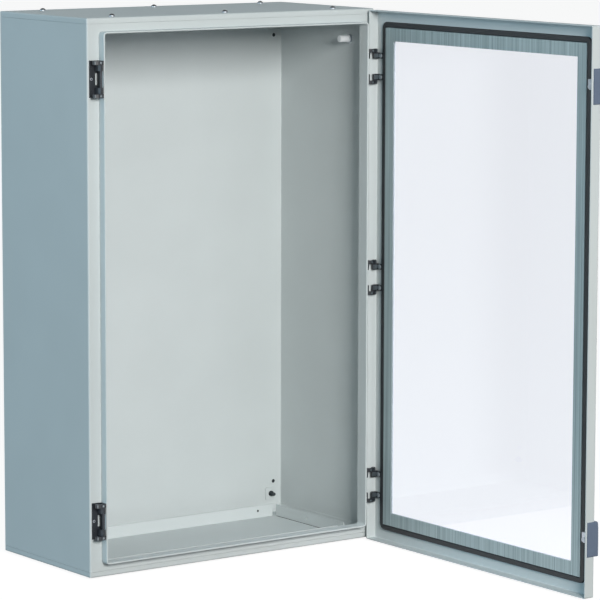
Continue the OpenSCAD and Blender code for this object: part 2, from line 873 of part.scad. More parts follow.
module lock_cam_lower() {
    color(zinc) on_door() lock_side(strike_zs[1]) lock_cam();
}

module lock_cam_screw_upper() {
    color(zinc) on_door() lock_side(strike_zs[0]) lock_cam_screw();
}

module lock_cam_screw_lower() {
    color(zinc) on_door() lock_side(strike_zs[1]) lock_cam_screw();
}

body_shell();
sealing_lip();
top_pan();
bottom_pan();
top_entry_plate();
top_entry_seal();
top_plate_bolts();
top_plate_nuts();
bottom_entry_plate();
bottom_entry_seal();
bottom_plate_bolts();
bottom_plate_nuts();
mounting_stud_pads();
mounting_studs();
earth_stud();
earth_stud_cap();
hinge_base_upper();
hinge_base_middle();
hinge_base_lower();
hinge_base_screws();
hinge_pins();
strike_base_upper();
strike_base_lower();
strike_pins();
strike_rods();
strike_screws();
door_panel();
door_gasket();
window_pane();
window_tape();
glazing_rail_top();
glazing_rail_bottom();
glazing_rail_hinge_side();
glazing_rail_lock_side();
hinge_knuckles_upper();
hinge_knuckles_middle();
hinge_knuckles_lower();
knuckle_nuts();
lock_housing_upper();
lock_housing_lower();
lock_ring_nuts();
lock_core_upper();
lock_cam_upper();
lock_cam_screw_upper();
lock_core_lower();
lock_cam_lower();
lock_cam_screw_lower();
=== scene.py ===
import bmesh
import bpy
import math
from mathutils import Matrix, Vector


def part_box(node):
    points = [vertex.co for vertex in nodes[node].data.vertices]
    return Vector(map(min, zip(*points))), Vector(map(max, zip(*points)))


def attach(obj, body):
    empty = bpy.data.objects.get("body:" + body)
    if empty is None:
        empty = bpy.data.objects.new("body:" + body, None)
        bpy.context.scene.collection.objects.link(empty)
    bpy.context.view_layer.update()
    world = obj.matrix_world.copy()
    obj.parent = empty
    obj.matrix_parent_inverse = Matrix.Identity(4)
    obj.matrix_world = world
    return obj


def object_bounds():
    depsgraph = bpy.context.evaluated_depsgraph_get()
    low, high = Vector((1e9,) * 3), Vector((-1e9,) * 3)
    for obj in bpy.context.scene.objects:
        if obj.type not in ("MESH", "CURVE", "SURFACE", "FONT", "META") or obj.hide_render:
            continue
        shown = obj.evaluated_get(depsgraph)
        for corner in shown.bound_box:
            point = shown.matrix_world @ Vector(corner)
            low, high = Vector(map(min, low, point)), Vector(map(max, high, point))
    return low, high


# %% [markdown]
# # A steel wall enclosure with a glazed door
# Sheet-steel boxes like this one hang on a wall and hold switches and terminals. The body and the door
# are bent from sheet, coated with powder, and carry small cast and moulded fittings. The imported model
# already has every bent edge and every hinge, so it is kept as it is. This lesson gives each piece the
# finish of its real process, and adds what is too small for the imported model: threads, sockets, clips and
# joint lines.

# %% Load the frame
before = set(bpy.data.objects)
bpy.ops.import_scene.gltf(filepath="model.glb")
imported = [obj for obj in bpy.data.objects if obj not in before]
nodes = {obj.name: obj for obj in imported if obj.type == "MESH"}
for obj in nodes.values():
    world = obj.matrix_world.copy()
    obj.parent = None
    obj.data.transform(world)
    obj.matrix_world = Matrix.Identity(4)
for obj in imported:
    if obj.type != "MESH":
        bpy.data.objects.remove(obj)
cad_lo, cad_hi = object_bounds()
scene = bpy.context.scene
print("packed model:", len(nodes), "nodes, size", [round(v, 3) for v in (cad_hi - cad_lo)])

# %% [markdown]
# ## The camera
# A long lens from far away keeps upright edges nearly upright, as in a catalogue picture. The camera is
# placed by its real distance and turned with three numbers: azimuth round the box, elevation above it,
# and a slight roll. A matrix is built from them, because it leaves no doubt about the order of turns.

# %% Camera
MM = 0.001
CAMERA_AT = Vector((-3319.0, -5021.0, 777.0)) * MM
AZIMUTH, ELEVATION, ROLL = (math.radians(v) for v in (-36.11, 7.85, 0.132))
LENS_MM = 202.3


def camera_turn(azimuth, elevation, roll):
    back = Vector((math.sin(azimuth) * math.cos(elevation),
                   -math.cos(azimuth) * math.cos(elevation), math.sin(elevation)))
    right = Vector((math.cos(azimuth), math.sin(azimuth), 0.0))
    up = back.cross(right)
    rolled_right = right * math.cos(roll) + up * math.sin(roll)
    rolled_up = up * math.cos(roll) - right * math.sin(roll)
    return Matrix((rolled_right, rolled_up, back)).transposed()


lens = bpy.data.cameras.new("catalogue_lens")
lens.lens = LENS_MM
lens.sensor_width = 36.0
lens.clip_start, lens.clip_end = 0.1, 200.0
camera = bpy.data.objects.new("camera", lens)
camera.matrix_world = Matrix.Translation(CAMERA_AT) @ camera_turn(AZIMUTH, ELEVATION, ROLL).to_4x4()
scene.collection.objects.link(camera)
scene.camera = camera
print("camera", round((CAMERA_AT - (cad_lo + cad_hi) / 2).length, 2), "m from the middle of the object")

# %% [markdown]
# ## Two helpers for every material
# Colours are written as the sRGB hex values that a paint chart gives, and Blender works in linear light,
# so one function converts them. The other adds one shader node with its settings and its links, which
# keeps each material a short list of what it is made from.


# %% Helpers
def linear(hex_colour):
    values = [int(hex_colour[i:i + 2], 16) / 255 for i in (1, 3, 5)]
    return [v / 12.92 if v <= 0.04045 else ((v + 0.055) / 1.055) ** 2.4 for v in values] + [1.0]


def add_node(tree, kind, settings=None, **inputs):
    made = tree.nodes.new(kind)
    for name, value in (settings or {}).items():
        setattr(made, name, value)
    for name, value in inputs.items():
        key = int(name[1:]) if name[0] == "_" else name.replace("_", " ")
        socket = made.inputs[key]
        if isinstance(value, bpy.types.NodeSocket):
            tree.links.new(value, socket)
        else:
            socket.default_value = value
    return made


def new_material(name):
    made = bpy.data.materials.new(name)
    made.use_nodes = True
    made.node_tree.nodes.clear()
    return made, made.node_tree


def finish_material(tree, shader):
    tree.links.new(shader, tree.nodes.new("ShaderNodeOutputMaterial").inputs["Surface"])


# %% [markdown]
# ## Powder-coated steel
# The box is cold-rolled sheet with a baked polyester powder coat. Powder melts into a skin with a soft
# orange peel, hills about 1.5 mm across and a few hundredths deep, over a finer grain. That gives a satin
# look: the highlight is broad and slightly broken. A faint drift in colour over a hand's width keeps a
# large flat sheet from looking like plastic. Noise in object coordinates draws both.

# %% Powder coat
POWDER_GREY = "#C8CFD0"
POWDER_SHADE = "#C5CCCD"
PEEL_MM = 1.5
PEEL_HEIGHT_MM = 0.4
GRAIN_MM = 0.35
DRIFT_MM = 160.0
POWDER_ROUGHNESS = 0.58


def per_metre(size_mm):
    return 1000.0 / size_mm


def powder_coat(name, colour, shade, roughness):
    made, tree = new_material(name)
    place = add_node(tree, "ShaderNodeTexCoord").outputs["Object"]
    drift = add_node(tree, "ShaderNodeTexNoise", Vector=place, Scale=per_metre(DRIFT_MM), Detail=2.0)
    soft = add_node(tree, "ShaderNodeMapRange", Value=drift.outputs["Fac"], _1=0.35, _2=0.65)
    tint = add_node(tree, "ShaderNodeMix", {"data_type": "RGBA"}, _0=soft.outputs["Result"],
                    _6=linear(shade), _7=linear(colour))
    peel = add_node(tree, "ShaderNodeTexNoise", Vector=place, Scale=per_metre(PEEL_MM), Detail=1.0)
    grain = add_node(tree, "ShaderNodeTexNoise", Vector=place, Scale=per_metre(GRAIN_MM), Detail=0.0)
    height = add_node(tree, "ShaderNodeMath", {"operation": "MULTIPLY_ADD"},
                      _0=grain.outputs["Fac"], _1=0.3, _2=peel.outputs["Fac"])
    bump = add_node(tree, "ShaderNodeBump", Strength=0.12, Distance=PEEL_HEIGHT_MM * MM,
                    Height=height.outputs[0])
    gloss = add_node(tree, "ShaderNodeMapRange", Value=grain.outputs["Fac"], _3=roughness - 0.05,
                     _4=roughness + 0.06)
    skin = add_node(tree, "ShaderNodeBsdfPrincipled", Base_Color=tint.outputs[2], Metallic=0.0, IOR=1.5,
                    Roughness=gloss.outputs["Result"], Normal=bump.outputs["Normal"])
    skin.inputs["Specular IOR Level"].default_value = 0.3
    finish_material(tree, skin.outputs[0])
    return made


sheet_paint = powder_coat("polyester_powder_coat_on_steel", POWDER_GREY, POWDER_SHADE, POWDER_ROUGHNESS)
print("powder coat peel", PEEL_MM, "mm")

# %% [markdown]
# ## Plated and phosphated metal
# Screws, pins, nuts and cams are plated with zinc and passivated. Plated steel is grey with a cold blue
# cast, and rough enough to blur what it reflects. Tumbling in the barrel leaves fine random marks. The
# lock cores are die-cast and polished, the hinge nuts have a dull nickel plate, and the mounting studs
# are phosphated, which leaves them dark and matt. One recipe serves all four, because only colour and
# roughness change. A metal keeps its default index of refraction.

# %% Plated metals
PLATE_MARK_MM = 0.6
FINE_BUMP_MM = 0.1


def plated_metal(name, colour, shade, roughness, mark_mm):
    made, tree = new_material(name)
    place = add_node(tree, "ShaderNodeTexCoord").outputs["Object"]
    marks = add_node(tree, "ShaderNodeTexNoise", Vector=place, Scale=per_metre(mark_mm), Detail=3.0)
    cloud = add_node(tree, "ShaderNodeTexNoise", Vector=place, Scale=per_metre(mark_mm * 8), Detail=2.0)
    tint = add_node(tree, "ShaderNodeMix", {"data_type": "RGBA"}, _0=cloud.outputs["Fac"],
                    _6=linear(shade), _7=linear(colour))
    gloss = add_node(tree, "ShaderNodeMapRange", Value=marks.outputs["Fac"], _3=roughness - 0.08,
                     _4=roughness + 0.08)
    bump = add_node(tree, "ShaderNodeBump", Strength=0.15, Distance=FINE_BUMP_MM * MM,
                    Height=marks.outputs["Fac"])
    skin = add_node(tree, "ShaderNodeBsdfPrincipled", Base_Color=tint.outputs[2], Metallic=1.0,
                    Roughness=gloss.outputs["Result"], Normal=bump.outputs["Normal"])
    finish_material(tree, skin.outputs[0])
    return made


zinc_plate = plated_metal("zinc_plated_passivated_steel", "#C6CBD2", "#A9AFB8", 0.32, PLATE_MARK_MM)
die_cast_zinc = plated_metal("polished_die_cast_zinc", "#B9BDC4", "#9EA3AB", 0.24, PLATE_MARK_MM)
cap_nut_metal = plated_metal("dull_nickel_plated_steel", "#8F979B", "#6F777C", 0.38, PLATE_MARK_MM)
stud_steel = plated_metal("phosphated_stud_steel", "#565D60", "#3E4447", 0.5, PLATE_MARK_MM)
print("metals:", ", ".join(m.name for m in (zinc_plate, die_cast_zinc, cap_nut_metal, stud_steel)))

# %% [markdown]
# ## Castings, mouldings and foam
# The hinge and strike bases are die-cast and coated black; the lock housings are moulded in glass-filled
# nylon. Both have a fine spark-eroded grain from the tool, drawn 0.4 mm wide. On black that grain is what
# separates a casting from a hole, so it goes into roughness as well as into the bump. The foam seals and
# the gasket use the same recipe with a coarser, rougher skin.

# %% Castings and mouldings
MOULD_GRAIN_MM = 0.4
FLOW_TO_GRAIN = 30


def moulded_skin(name, colour, shade, roughness, grain_mm, bump_strength):
    made, tree = new_material(name)
    place = add_node(tree, "ShaderNodeTexCoord").outputs["Object"]
    grain = add_node(tree, "ShaderNodeTexNoise", Vector=place, Scale=per_metre(grain_mm), Detail=2.0)
    flow = add_node(tree, "ShaderNodeTexNoise", Vector=place, Scale=per_metre(grain_mm * FLOW_TO_GRAIN),
                    Detail=2.0)
    tint = add_node(tree, "ShaderNodeMix", {"data_type": "RGBA"}, _0=flow.outputs["Fac"],
                    _6=linear(shade), _7=linear(colour))
    gloss = add_node(tree, "ShaderNodeMapRange", Value=grain.outputs["Fac"], _3=roughness - 0.1,
                     _4=roughness + 0.1)
    bump = add_node(tree, "ShaderNodeBump", Strength=bump_strength, Distance=FINE_BUMP_MM * MM,
                    Height=grain.outputs["Fac"])
    skin = add_node(tree, "ShaderNodeBsdfPrincipled", Base_Color=tint.outputs[2], Metallic=0.0, IOR=1.5,
                    Roughness=gloss.outputs["Result"], Normal=bump.outputs["Normal"])
    finish_material(tree, skin.outputs[0])
    return made


black_casting = moulded_skin("black_coated_die_casting", "#23282F", "#171B20", 0.42, MOULD_GRAIN_MM, 0.5)
slate_nylon = moulded_skin("glass_filled_nylon_slate", "#5F6C80", "#566377", 0.5, MOULD_GRAIN_MM, 0.5)
white_cap = moulded_skin("white_polyethylene", "#E9ECEE", "#DDE2E6", 0.35, 0.8, 0.2)
# this black rubber finish also draws painted shade: socket plates, hole discs and gap bars
dark_rubber_and_painted_shade = moulded_skin("black_cellular_rubber_and_painted_shade", "#2A2F35", "#1B1F24", 0.8, 0.7, 0.8)
gasket_skin = moulded_skin("foamed_polyurethane_gasket", "#161B20", "#0F1317", 0.5, 0.9, 0.35)
print("castings and mouldings:", ", ".join(
    m.name for m in (black_casting, slate_nylon, white_cap, dark_rubber_and_painted_shade, gasket_skin)))

# %% [markdown]
# ## Bolts with a painted dark crown
# The bolts of the entry plates are plated. Each crown is painted dark: a painted reflection of a dark room
# above, which the plated dome would mirror over its bright lower part. The painted crown begins a set height
# above the pan, so one comparison of height in object coordinates parts the two, and a mix of shaders gives
# each its own bright metal or painted dark crown.

# %% Bolt with painted dark crown
PAN_FACE = 0.475
PAINTED_CROWN_FROM_MM = 1.45

bolt_with_painted_crown, tree = new_material("plated_bolt_with_painted_dark_crown")
place = add_node(tree, "ShaderNodeTexCoord").outputs["Object"]
height = add_node(tree, "ShaderNodeMath", {"operation": "ABSOLUTE"},
                  _0=add_node(tree, "ShaderNodeSeparateXYZ", Vector=place).outputs["Z"])
painted_crown_mask = add_node(tree, "ShaderNodeMath", {"operation": "GREATER_THAN"}, _0=height.outputs[0],
                  _1=PAN_FACE + PAINTED_CROWN_FROM_MM * MM)
marks = add_node(tree, "ShaderNodeTexNoise", Vector=place, Scale=per_metre(PLATE_MARK_MM), Detail=3.0)
bright = add_node(tree, "ShaderNodeMapRange", Value=marks.outputs["Fac"], _3=0.28, _4=0.44)
metal = add_node(tree, "ShaderNodeBsdfPrincipled", Base_Color=linear("#B4BAC0"), Metallic=1.0,
                 Roughness=bright.outputs["Result"])
# painted reflection: this dark shader on the crown stands for a dark room mirrored in the plated dome
nylon = add_node(tree, "ShaderNodeBsdfPrincipled", Base_Color=linear("#20262B"), Metallic=0.0, IOR=1.5,
                 Roughness=bright.outputs["Result"])
both = add_node(tree, "ShaderNodeMixShader", _0=painted_crown_mask.outputs[0], _1=metal.outputs[0], _2=nylon.outputs[0])
finish_material(tree, both.outputs[0])
print("bolt painted dark crowns start", PAINTED_CROWN_FROM_MM, "mm above the pans")

# %% [markdown]
# ## Brushed glazing rails
# The rails that hold the pane are thin coated sheet with a brushed face. The grain runs upright on all
# four, so it crosses the top and bottom rails and runs along the side ones. Noise is stretched two
# hundred times along Z. Real brush lines are a tenth of a millimetre apart, too fine to show here, so the
# widest ones are drawn 3 mm apart and finer ones between them.

# %% Brushed rail
BRUSH_LINE_MM = 3.2
FINE_LINE_MM = 0.9
BRUSH_STRETCH = 0.005
RAIL_GREY, RAIL_SHADE = "#B1C0C2", "#8A999C"

rail_finish, tree = new_material("brushed_coated_rail_sheet")
place = add_node(tree, "ShaderNodeTexCoord").outputs["Object"]
stretched = add_node(tree, "ShaderNodeMapping", Vector=place, Scale=(1.0, 1.0, BRUSH_STRETCH))
wide = add_node(tree, "ShaderNodeTexNoise", Vector=stretched.outputs[0], Scale=per_metre(BRUSH_LINE_MM),
                Detail=2.0, Roughness=0.7)
fine = add_node(tree, "ShaderNodeTexNoise", Vector=stretched.outputs[0], Scale=per_metre(FINE_LINE_MM),
                Detail=1.0)
lines = add_node(tree, "ShaderNodeMath", {"operation": "MULTIPLY_ADD"}, _0=fine.outputs["Fac"], _1=0.35,
                 _2=wide.outputs["Fac"])
contrast = add_node(tree, "ShaderNodeMapRange", Value=lines.outputs[0], _1=0.5, _2=0.86)
tint = add_node(tree, "ShaderNodeMix", {"data_type": "RGBA"}, _0=contrast.outputs["Result"],
                _6=linear(RAIL_SHADE), _7=linear(RAIL_GREY))
bump = add_node(tree, "ShaderNodeBump", Strength=0.3, Distance=0.0002, Height=lines.outputs[0])
skin = add_node(tree, "ShaderNodeBsdfPrincipled", Base_Color=tint.outputs[2], Metallic=0.35,
                Roughness=0.42, Normal=bump.outputs["Normal"])
finish_material(tree, skin.outputs[0])
print("brush lines", BRUSH_LINE_MM, "and", FINE_LINE_MM, "mm wide")

# %% [markdown]
# ## The pane
# The window is clear acrylic, which lets more than nine tenths of the light through and turns white
# faintly blue. Glass in Blender blocks the light that should pass through it on its way to the floor, so
# rays that look for a lamp see a clear tinted film instead.

# %% Clear pane
PANE_TINT = "#F7F9FF"
ACRYLIC_IOR = 1.49
pane_finish, tree = new_material("clear_acrylic_sheet")
glass = add_node(tree, "ShaderNodeBsdfPrincipled", Base_Color=linear(PANE_TINT), Roughness=0.02,
                 Metallic=0.0, IOR=ACRYLIC_IOR)
glass.inputs["Transmission Weight"].default_value = 1.0
film = add_node(tree, "ShaderNodeBsdfTransparent", Color=linear(PANE_TINT))
ray = add_node(tree, "ShaderNodeLightPath")
both = add_node(tree, "ShaderNodeMixShader", _0=ray.outputs["Is Shadow Ray"], _1=glass.outputs[0],
                _2=film.outputs[0])
finish_material(tree, both.outputs[0])
print("pane tint", PANE_TINT, "index", ACRYLIC_IOR)

# %% [markdown]
# ## Which piece has which finish
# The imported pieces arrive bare. One table names the finish of each, so a piece that was forgotten is easy
# to find, and a change of finish is one word.

# %% Finishes
finishes = {
    "sheet": (sheet_paint, ["body_shell", "sealing_lip", "top_pan", "bottom_pan", "top_entry_plate",
                            "bottom_entry_plate", "mounting_stud_pads", "door_panel"]),
    "zinc": (zinc_plate, ["top_plate_nuts", "bottom_plate_nuts", "earth_stud",
                          "hinge_base_screws", "hinge_pins", "strike_pins",
                          "strike_screws", "lock_ring_nuts", "lock_cam_upper", "lock_cam_lower",
                          "lock_cam_screw_upper", "lock_cam_screw_lower"]),
    "cast": (die_cast_zinc, ["lock_core_upper", "lock_core_lower"]),
    "cap nut": (cap_nut_metal, ["knuckle_nuts"]),
    "stud": (stud_steel, ["mounting_studs"]),
    "black": (black_casting, ["hinge_base_upper", "hinge_base_middle", "hinge_base_lower",
                              "strike_base_upper", "strike_base_lower", "hinge_knuckles_upper",
                              "hinge_knuckles_middle", "hinge_knuckles_lower", "strike_rods"]),
    "slate": (slate_nylon, ["lock_housing_upper", "lock_housing_lower"]),
    # the dark crowns of these bolts are a painted reflection
    "cap": (bolt_with_painted_crown, ["top_plate_bolts", "bottom_plate_bolts"]),
    "white": (white_cap, ["earth_stud_cap"]),
    "foam": (dark_rubber_and_painted_shade, ["top_entry_seal", "bottom_entry_seal", "window_tape"]),
    "gasket": (gasket_skin, ["door_gasket"]),
    "rail": (rail_finish, ["glazing_rail_top", "glazing_rail_bottom", "glazing_rail_hinge_side",
                           "glazing_rail_lock_side"]),
    "pane": (pane_finish, ["window_pane"]),
}
for label, (finish, names) in finishes.items():
    for name in names:
        nodes[name].data.materials.clear()
        nodes[name].data.materials.append(finish)
    print(label, "on", len(names), "pieces")

# %% [markdown]
# ## Small repeated pieces
# Plugs, threads, sockets and clips come in sets: the same piece in several places. Geometry Nodes suit
# that. A helper mesh holds one point for each place, a tree builds the piece once and sets it on every
# point, and the result is turned into a plain mesh. Three helpers start a tree with its named sizes, end
# it with its finish, and turn a finished set into a mesh that rides on its body.


# %% Helpers for sets
def new_tree(name, sizes):
    tree = bpy.data.node_groups.new(name, "GeometryNodeTree")
    tree.interface.new_socket("Places", in_out="INPUT", socket_type="NodeSocketGeometry")
    for label, value in sizes.items():
        socket = tree.interface.new_socket(label, in_out="INPUT", socket_type="NodeSocketFloat")
        socket.default_value = value
    tree.interface.new_socket("Pieces", in_out="OUTPUT", socket_type="NodeSocketGeometry")
    return tree, tree.nodes.new("NodeGroupInput").outputs


def end_tree(tree, geometry, finish):
    real = add_node(tree, "GeometryNodeRealizeInstances", _0=geometry)
    painted = add_node(tree, "GeometryNodeSetMaterial", Geometry=real.outputs[0], Material=finish)
    tree.links.new(painted.outputs[0], tree.nodes.new("NodeGroupOutput").inputs[0])


def set_of(name, tree, sizes, places, body):
    points = bpy.data.meshes.new(name + "_places")
    points.from_pydata(places, [], [])
    maker = bpy.data.objects.new(name + "_maker", points)
    scene.collection.objects.link(maker)
    grow = maker.modifiers.new("grow", "NODES")
    grow.node_group = tree
    for item in tree.interface.items_tree:
        if item.in_out == "INPUT" and item.name in sizes:
            grow[item.identifier] = sizes[item.name]
    mesh = bpy.data.meshes.new_from_object(maker.evaluated_get(bpy.context.evaluated_depsgraph_get()))
    bpy.data.objects.remove(maker)
    piece = bpy.data.objects.new(name, mesh)
    scene.collection.objects.link(piece)
    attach(piece, body)
    print(name, "on", body + ":", len(places), "places,", len(mesh.polygons), "faces")


# %% [markdown]
# ## Plugs in the wall holes
# A box that isn't screwed up yet leaves the works with a soft plug in each wall hole, to keep it tight.
# The plug is a short stepped disc, so a cylinder with a thinner one on it is enough. It stays inside the
# sheet, a little below the inner face, and reads as a dark hole. A thread of air keeps it off the metal.

# %% Hole plugs
SHEET = 1.5 * MM
WALL_X, WALL_Z, WALL_R = 282.0 * MM, 415.0 * MM, 3.5 * MM
PLUG_Y, AIR = -0.65 * MM, 0.05 * MM

tree, given = new_tree("hole_plug", {"Radius": WALL_R, "Thickness": SHEET * 0.6})
disc = add_node(tree, "GeometryNodeMeshCylinder", Vertices=32, Radius=given["Radius"],
                Depth=given["Thickness"])
rim_radius = add_node(tree, "ShaderNodeMath", {"operation": "MULTIPLY"}, _0=given["Radius"], _1=0.55)
dimple = add_node(tree, "GeometryNodeMeshCylinder", Vertices=24, Radius=rim_radius.outputs[0],
                  Depth=add_node(tree, "ShaderNodeMath", {"operation": "MULTIPLY"},
                                 _0=given["Thickness"], _1=1.3).outputs[0])
plug = add_node(tree, "GeometryNodeJoinGeometry")
tree.links.new(disc.outputs["Mesh"], plug.inputs[0])
tree.links.new(dimple.outputs["Mesh"], plug.inputs[0])
placed = add_node(tree, "GeometryNodeInstanceOnPoints", Points=given["Places"], Instance=plug.outputs[0],
                  Rotation=(math.pi / 2, 0.0, 0.0))
end_tree(tree, placed.outputs[0], dark_rubber_and_painted_shade)
set_of("wall_hole_plugs", tree, {"Radius": WALL_R - AIR},
       [(x * WALL_X, PLUG_Y, z * WALL_Z) for x in (-1, 1) for z in (-1, 1)], "cabinet")

# %% [markdown]
# ## Threads on the studs
# The studs that hold the mounting plate carry an M6 thread: its crests stand one millimetre apart. From a
# few metres a thread is a stack of rings, and rings are lighter than a helix, so each ring is a circle
# swept with a small triangle. The triangle is mostly sunk in the plain shank, and its tip stands proud.

# %% Stud threads
STUD_X, STUD_Z, STUD_R = 275.0 * MM, 437.5 * MM, 3.0 * MM
THREAD_PITCH = 1.0 * MM
THREAD_FROM, THREAD_TO = 6.4 * MM, 14.6 * MM
CREST = 0.28 * MM

tree, given = new_tree("thread_rings", {"Radius": STUD_R, "Crest": CREST})
circle = add_node(tree, "GeometryNodeCurvePrimitiveCircle", Resolution=32, Radius=given["Radius"])
crest = add_node(tree, "GeometryNodeCurvePrimitiveCircle", Resolution=3, Radius=given["Crest"])
ring = add_node(tree, "GeometryNodeCurveToMesh", Curve=circle.outputs[0], Profile_Curve=crest.outputs[0])
placed = add_node(tree, "GeometryNodeInstanceOnPoints", Points=given["Places"], Instance=ring.outputs[0],
                  Rotation=(math.pi / 2, 0.0, 0.0))
end_tree(tree, placed.outputs[0], stud_steel)
ring_ys = [-THREAD_FROM - THREAD_PITCH * k for k in range(int((THREAD_TO - THREAD_FROM) / THREAD_PITCH) + 1)]
set_of("stud_threads", tree, {"Radius": STUD_R - AIR},
       [(x * STUD_X, y, z * STUD_Z) for x in (-1, 1) for z in (-1, 1) for y in ring_ys], "cabinet")

# %% [markdown]
# ## Sockets of the base screws
# The hinge and strike bases are held by small countersunk screws with a hexagon socket. A socket is a
# six-sided hole, dark with shade. The heads are closed solids, so the hole is drawn as a thin six-sided
# plate, dark and rough, a few hundredths proud of the head: painted shade in place of the recess.

# %% Screw sockets
PIN_U, PIN_W, HANG = 6.5 * MM, 13.0 * MM, 1.5 * MM
HALF_W, DEPTH = 300.0 * MM, 280.0 * MM
FITTING_Z, SCREW_Z = 375.0 * MM, 9.0 * MM
SOCKET_R = 1.2 * MM
hinge_lo, hinge_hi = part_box("hinge_base_screws")
strike_lo, strike_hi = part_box("strike_screws")
base_screws = [((hinge_lo[0] + hinge_hi[0]) / 2, hinge_lo[1], z - HANG + s * SCREW_Z)
               for z in (-FITTING_Z, 0.0, FITTING_Z) for s in (-1, 1)]
base_screws += [((strike_lo[0] + strike_hi[0]) / 2, strike_lo[1], z - HANG) for z in (-FITTING_Z, FITTING_Z)]

tree, given = new_tree("socket_plate", {"Radius": SOCKET_R, "Thickness": 0.06 * MM})
plate = add_node(tree, "GeometryNodeMeshCylinder", Vertices=6, Radius=given["Radius"],
                 Depth=given["Thickness"])
placed = add_node(tree, "GeometryNodeInstanceOnPoints", Points=given["Places"],
                  Instance=plate.outputs["Mesh"], Rotation=(math.pi / 2, 0.0, 0.0))
end_tree(tree, placed.outputs[0], dark_rubber_and_painted_shade)
# painted shade: a dark six-sided plate in place of each socket's recess
set_of("base_screw_sockets", tree, {"Radius": SOCKET_R}, base_screws, "cabinet")

# %% [markdown]
# ## Clips on the knuckles
# Each knuckle carries a flat grey clip that keeps its pin from walking out. A clip is a small plate with
# rounded corners. A rounded curve that is filled and extruded gives it, and one tree sets all six. They
# ride on the door, since the knuckles swing with it.

# %% Pin clips
CLIP_FROM_W, CLIP_TO_W, CLIP_H, CLIP_T = 7.4 * MM, 17.2 * MM, 7.5 * MM, 0.6 * MM
CLIP_CORNER = 1.0 * MM
KNUCKLE_U, KNUCKLE_Z = 10.2 * MM, 18.95 * MM
EDGE_X = HALF_W - PIN_U - PIN_W


def on_open_door(u, w, z):
    # edge coordinates of the shut door, turned a quarter about the hinge pin
    return (EDGE_X + w, -DEPTH - PIN_W + PIN_U - u, z - HANG)


clip_places = [on_open_door(KNUCKLE_U + CLIP_T / 2, (CLIP_FROM_W + CLIP_TO_W) / 2, z + s * KNUCKLE_Z)
               for z in (-FITTING_Z, 0.0, FITTING_Z) for s in (-1, 1)]
tree, given = new_tree("pin_clip", {"Width": CLIP_TO_W - CLIP_FROM_W, "Height": CLIP_H,
                                    "Thickness": CLIP_T, "Corner": CLIP_CORNER})
outline = add_node(tree, "GeometryNodeCurvePrimitiveQuadrilateral", Width=given["Width"],
                   Height=given["Height"])
soft_outline = add_node(tree, "GeometryNodeFilletCurve", {"mode": "POLY"}, Curve=outline.outputs[0],
                        Count=5, Radius=given["Corner"])
face = add_node(tree, "GeometryNodeFillCurve", Curve=soft_outline.outputs[0])
body = add_node(tree, "GeometryNodeExtrudeMesh", Mesh=face.outputs[0], Offset_Scale=given["Thickness"],
                Individual=False)
closed = add_node(tree, "GeometryNodeJoinGeometry")
back = add_node(tree, "GeometryNodeFlipFaces", Mesh=face.outputs[0])
tree.links.new(body.outputs["Mesh"], closed.inputs[0])
tree.links.new(back.outputs[0], closed.inputs[0])
whole = add_node(tree, "GeometryNodeMergeByDistance", Geometry=closed.outputs[0], Distance=0.00001)
half_back = add_node(tree, "ShaderNodeMath", {"operation": "MULTIPLY"}, _0=given["Thickness"], _1=-0.5)
centred = add_node(tree, "GeometryNodeTransform", Geometry=whole.outputs[0],
                   Translation=add_node(tree, "ShaderNodeCombineXYZ", Z=half_back.outputs[0]).outputs[0])
placed = add_node(tree, "GeometryNodeInstanceOnPoints", Points=given["Places"],
                  Instance=centred.outputs[0], Rotation=(math.pi / 2, 0.0, 0.0))
end_tree(tree, placed.outputs[0], cap_nut_metal)
set_of("knuckle_pin_clips", tree, {"Corner": CLIP_CORNER}, clip_places, "door")

# %% [markdown]
# ## A window over the pin and a painted highlight on each arm
# Each cast arm is cut open over its pin, and metal shows in the cut, duller than the screws. On the arm's
# front face a pale plate is a painted highlight, standing for light on the arm's bevel. Each is drawn as a
# thin plate with soft corners, set a few hundredths of a millimetre proud of the casting. A copy of the
# clips' tree makes them, with other sizes and the clips' nickel finish.

# %% Arm window and painted highlight plates
EYE_FRONT_W, ARM_FRONT_W, ARM_Z = 16.6 * MM, 18.4 * MM, 27.75 * MM
ARM_PLATE_T = 0.4 * MM
PIN_WINDOW = {"Width": 2.8 * MM, "Height": 5.4 * MM, "Thickness": ARM_PLATE_T, "Corner": 0.5 * MM}
FRONT_HIGHLIGHT = {"Width": 3.6 * MM, "Height": 3.6 * MM, "Thickness": ARM_PLATE_T, "Corner": 0.8 * MM}
PIN_WINDOW_U, FRONT_HIGHLIGHT_U = 5.6 * MM, 15.6 * MM
PIN_WINDOW_W = EYE_FRONT_W - ARM_PLATE_T / 2 + 0.02 * MM
FRONT_HIGHLIGHT_W = ARM_FRONT_W - ARM_PLATE_T / 2 + 0.05 * MM
sides = {"hinge": (1, (-FITTING_Z, 0.0, FITTING_Z)), "strike": (-1, (-FITTING_Z, FITTING_Z))}


def on_arms(u, w):
    return [(side * (HALF_W - u), -DEPTH - w, z - HANG + s * ARM_Z)
            for side, heights in sides.values() for z in heights for s in (-1, 1)]


arm_plate_tree = tree.copy()
arm_plate_tree.name = "arm_window_and_painted_highlight"
set_of("arm_pin_windows", arm_plate_tree, PIN_WINDOW, on_arms(PIN_WINDOW_U, PIN_WINDOW_W), "cabinet")
# painted highlight: a pale plate for light on the front face of each arm
set_of("arm_front_painted_highlights", arm_plate_tree, FRONT_HIGHLIGHT, on_arms(FRONT_HIGHLIGHT_U, FRONT_HIGHLIGHT_W), "cabinet")

# %% [markdown]
# ## Seal lines and painted shade round the entry plates
# An upright strip of an entry plate stops just short of the sheet over its dark seal. A shallow dark bar at
# the foot of each side strip draws partly that seal and partly painted shade in the gap. The small holes of
# the back strips get a dark disc each: painted shade in the holes. Both are sets, because the top plate
# repeats the bottom one.

